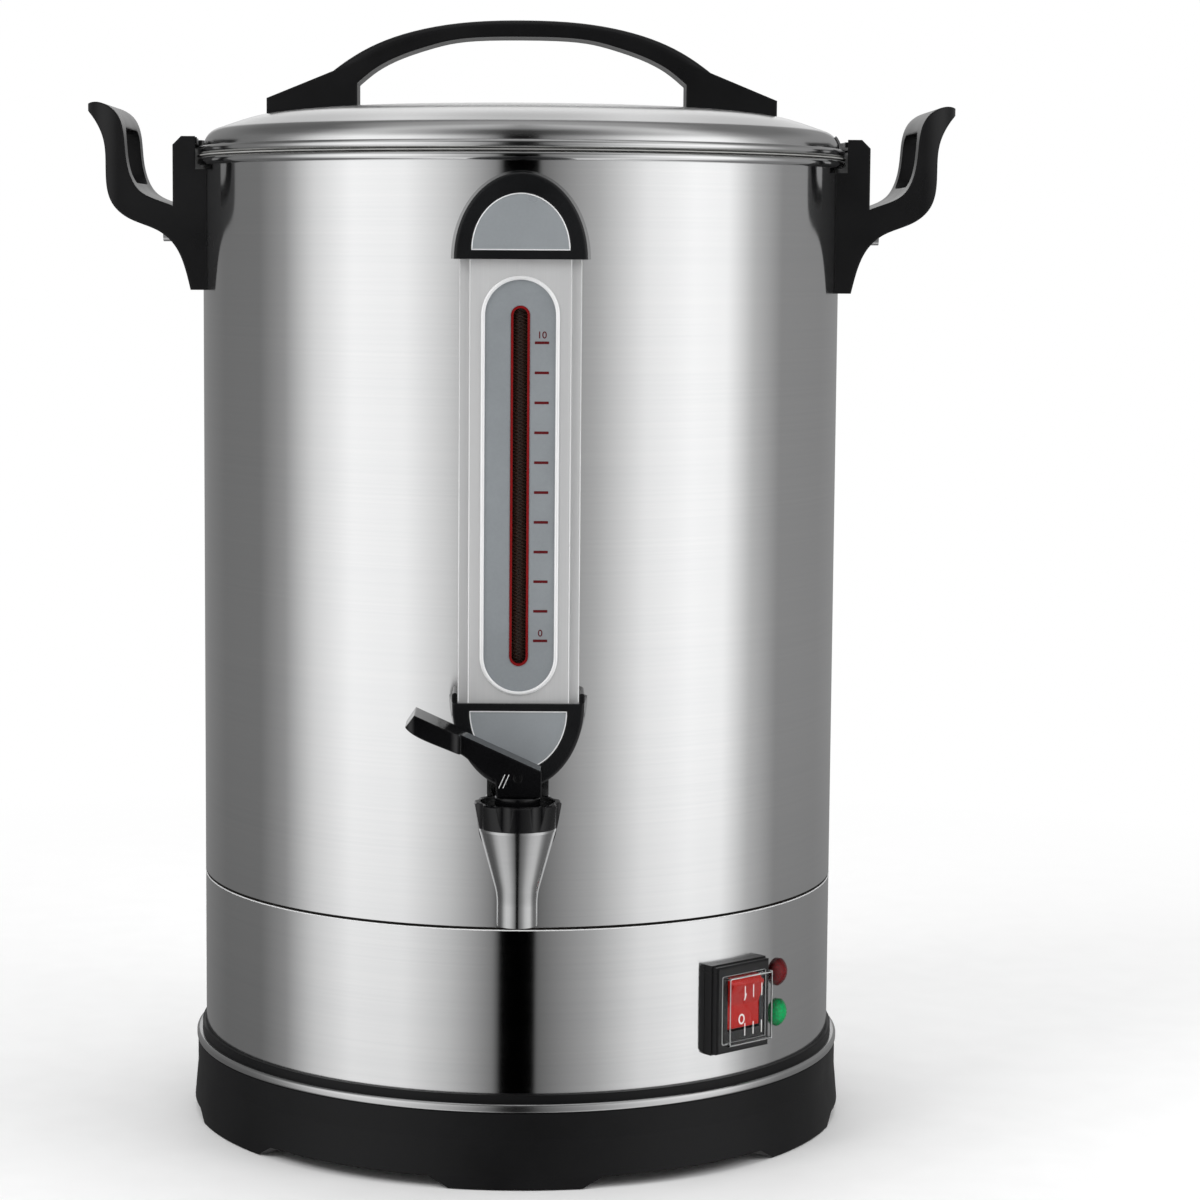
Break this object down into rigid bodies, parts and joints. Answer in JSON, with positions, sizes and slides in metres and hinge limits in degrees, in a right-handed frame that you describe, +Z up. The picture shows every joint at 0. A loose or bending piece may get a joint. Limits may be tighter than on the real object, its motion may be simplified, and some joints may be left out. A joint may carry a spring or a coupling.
{
  "type": "coffee urn",
  "caption": "Tall steel urn that brews and keeps coffee hot, with a twist-lock lid, two side handles, a sight gauge above a lever tap, and a covered rocker switch.",
  "frame": {"origin": "on the floor plane under the barrel's centre line, in the plane of the six feet and the resting ring", "axes": "+Z up the barrel's centre line; -Y is the front, with the gauge and the tap; +Y is the back, with the mains inlet; the side handles lie on X"},
  "size_m": [0.4038, 0.3691, 0.5178],
  "materials": {
    "brushed_steel": "brushed round the barrel",
    "bright_steel": "polished",
    "galvanised_sheet": "galvanised",
    "heater_metal": "heat-stained",
    "white_ceramic": "glazed",
    "silicone": "matte",
    "black_plastic": "fine grain",
    "gloss_black": "semi-gloss",
    "satin_aluminium": "satin anodised",
    "grey_plate": "satin",
    "red_plastic": "gloss",
    "clear_glass": "clear",
    "clear_cover": "clear soft plastic",
    "red_lit": "translucent",
    "red_lamp": "translucent",
    "green_lamp": "translucent, lit"
  },
  "bodies": {
    "urn": {"base_moulding": "black_plastic", "bottom_cover": "galvanised_sheet", "cover_screws": "bright_steel", "trim_ring": "bright_steel", "lower_skirt": "brushed_steel", "tank": "brushed_steel", "boil_heater": "heater_metal", "warm_heater": "heater_metal", "clamp_bar": "galvanised_sheet", "clamp_studs": "bright_steel", "clamp_nuts": "bright_steel", "thermostat": "white_ceramic", "thermal_cutout": "white_ceramic", "terminal_block": "white_ceramic", "handle_right": "black_plastic", "handle_left": "black_plastic", "handle_bolts": "bright_steel", "handle_nuts": "bright_steel", "gauge_column": "satin_aluminium", "gauge_scale": "grey_plate", "gauge_lining": "red_plastic", "gauge_tube": "clear_glass", "gauge_seal": "silicone", "gauge_tee": "brushed_steel", "gauge_head": "black_plastic", "gauge_cap_top": "black_plastic", "gauge_inlay_top": "grey_plate", "gauge_cap_bottom": "black_plastic", "gauge_inlay_bottom": "grey_plate", "gauge_screw": "bright_steel", "tap_body": "brushed_steel", "tap_shank": "brushed_steel", "shank_gaskets": "silicone", "shank_nut": "brushed_steel", "tap_bonnet": "gloss_black", "switch_bezel": "black_plastic", "splash_cover": "clear_cover", "switch_body": "black_plastic", "lamp_red": "red_lamp", "lamp_green": "green_lamp", "inlet_socket": "black_plastic", "inlet_pins": "bright_steel", "inlet_screws": "bright_steel"},
    "lid_carrier": {"lid_seal": "silicone"},
    "lid": {"lid": "brushed_steel", "lid_ears": "brushed_steel", "lid_handle": "black_plastic", "lid_handle_screws": "bright_steel"},
    "percolator": {"pump_tube": "brushed_steel", "pump_foot": "brushed_steel", "basket": "brushed_steel"},
    "basket_cover": {"basket_lid": "brushed_steel"},
    "tap_swivel": {"tap_collar": "gloss_black"},
    "tap_valve": {"tap_stem": "gloss_black", "seat_cup": "silicone", "tap_spring": "bright_steel", "lever_pin": "bright_steel"},
    "tap_lever": {"tap_lever": "gloss_black"},
    "rocker": {"switch_rocker": "red_lit"}
  },
  "joints": [
    {"name": "lid_lift", "type": "slide", "parent": "urn", "child": "lid_carrier", "axis": [0, 0, 1], "range_m": [0, 0.45]},
    {"name": "lid_turn", "type": "hinge", "parent": "lid_carrier", "child": "lid", "pos_m": [0, 0, 0.4556], "axis": [0, 0, 1], "range_deg": [0, 8.5]},
    {"name": "basket_lift", "type": "slide", "parent": "urn", "child": "percolator", "axis": [0, 0, 1], "range_m": [0, 0.37]},
    {"name": "basket_lid_lift", "type": "slide", "parent": "percolator", "child": "basket_cover", "axis": [0, 0, 1], "range_m": [0, 0.05]},
    {"name": "tap_swivel", "type": "hinge", "parent": "urn", "child": "tap_swivel", "pos_m": [0, -0.195, 0.18], "axis": [0, 0, 1], "range_deg": [0, 180]},
    {"name": "stem_lift", "type": "slide", "parent": "tap_swivel", "child": "tap_valve", "axis": [0, 0, 1], "range_m": [0, 0.0042], "stiffness_N_per_m": 60, "springref_m": -0.004, "deforming": ["tap_spring"]},
    {"name": "lever_tilt", "type": "hinge", "parent": "tap_valve", "child": "tap_lever", "pos_m": [0, -0.195, 0.191], "axis": [0, -1, 0], "range_deg": [0, 30]},
    {"name": "switch_rock", "type": "hinge", "parent": "urn", "child": "rocker", "pos_m": [0.09885, -0.11573, 0.0762], "axis": [-0.7604, -0.6494, 0], "range_deg": [0, 18]}
  ],
  "couplings": [
    {"joint": "basket_lift", "follows": "lid_lift", "ratio": 0.82},
    {"joint": "basket_lid_lift", "follows": "lid_lift", "ratio": 0.11},
    {"joint": "stem_lift", "follows": "lever_tilt", "m_per_rad": 0.008}
  ]
}
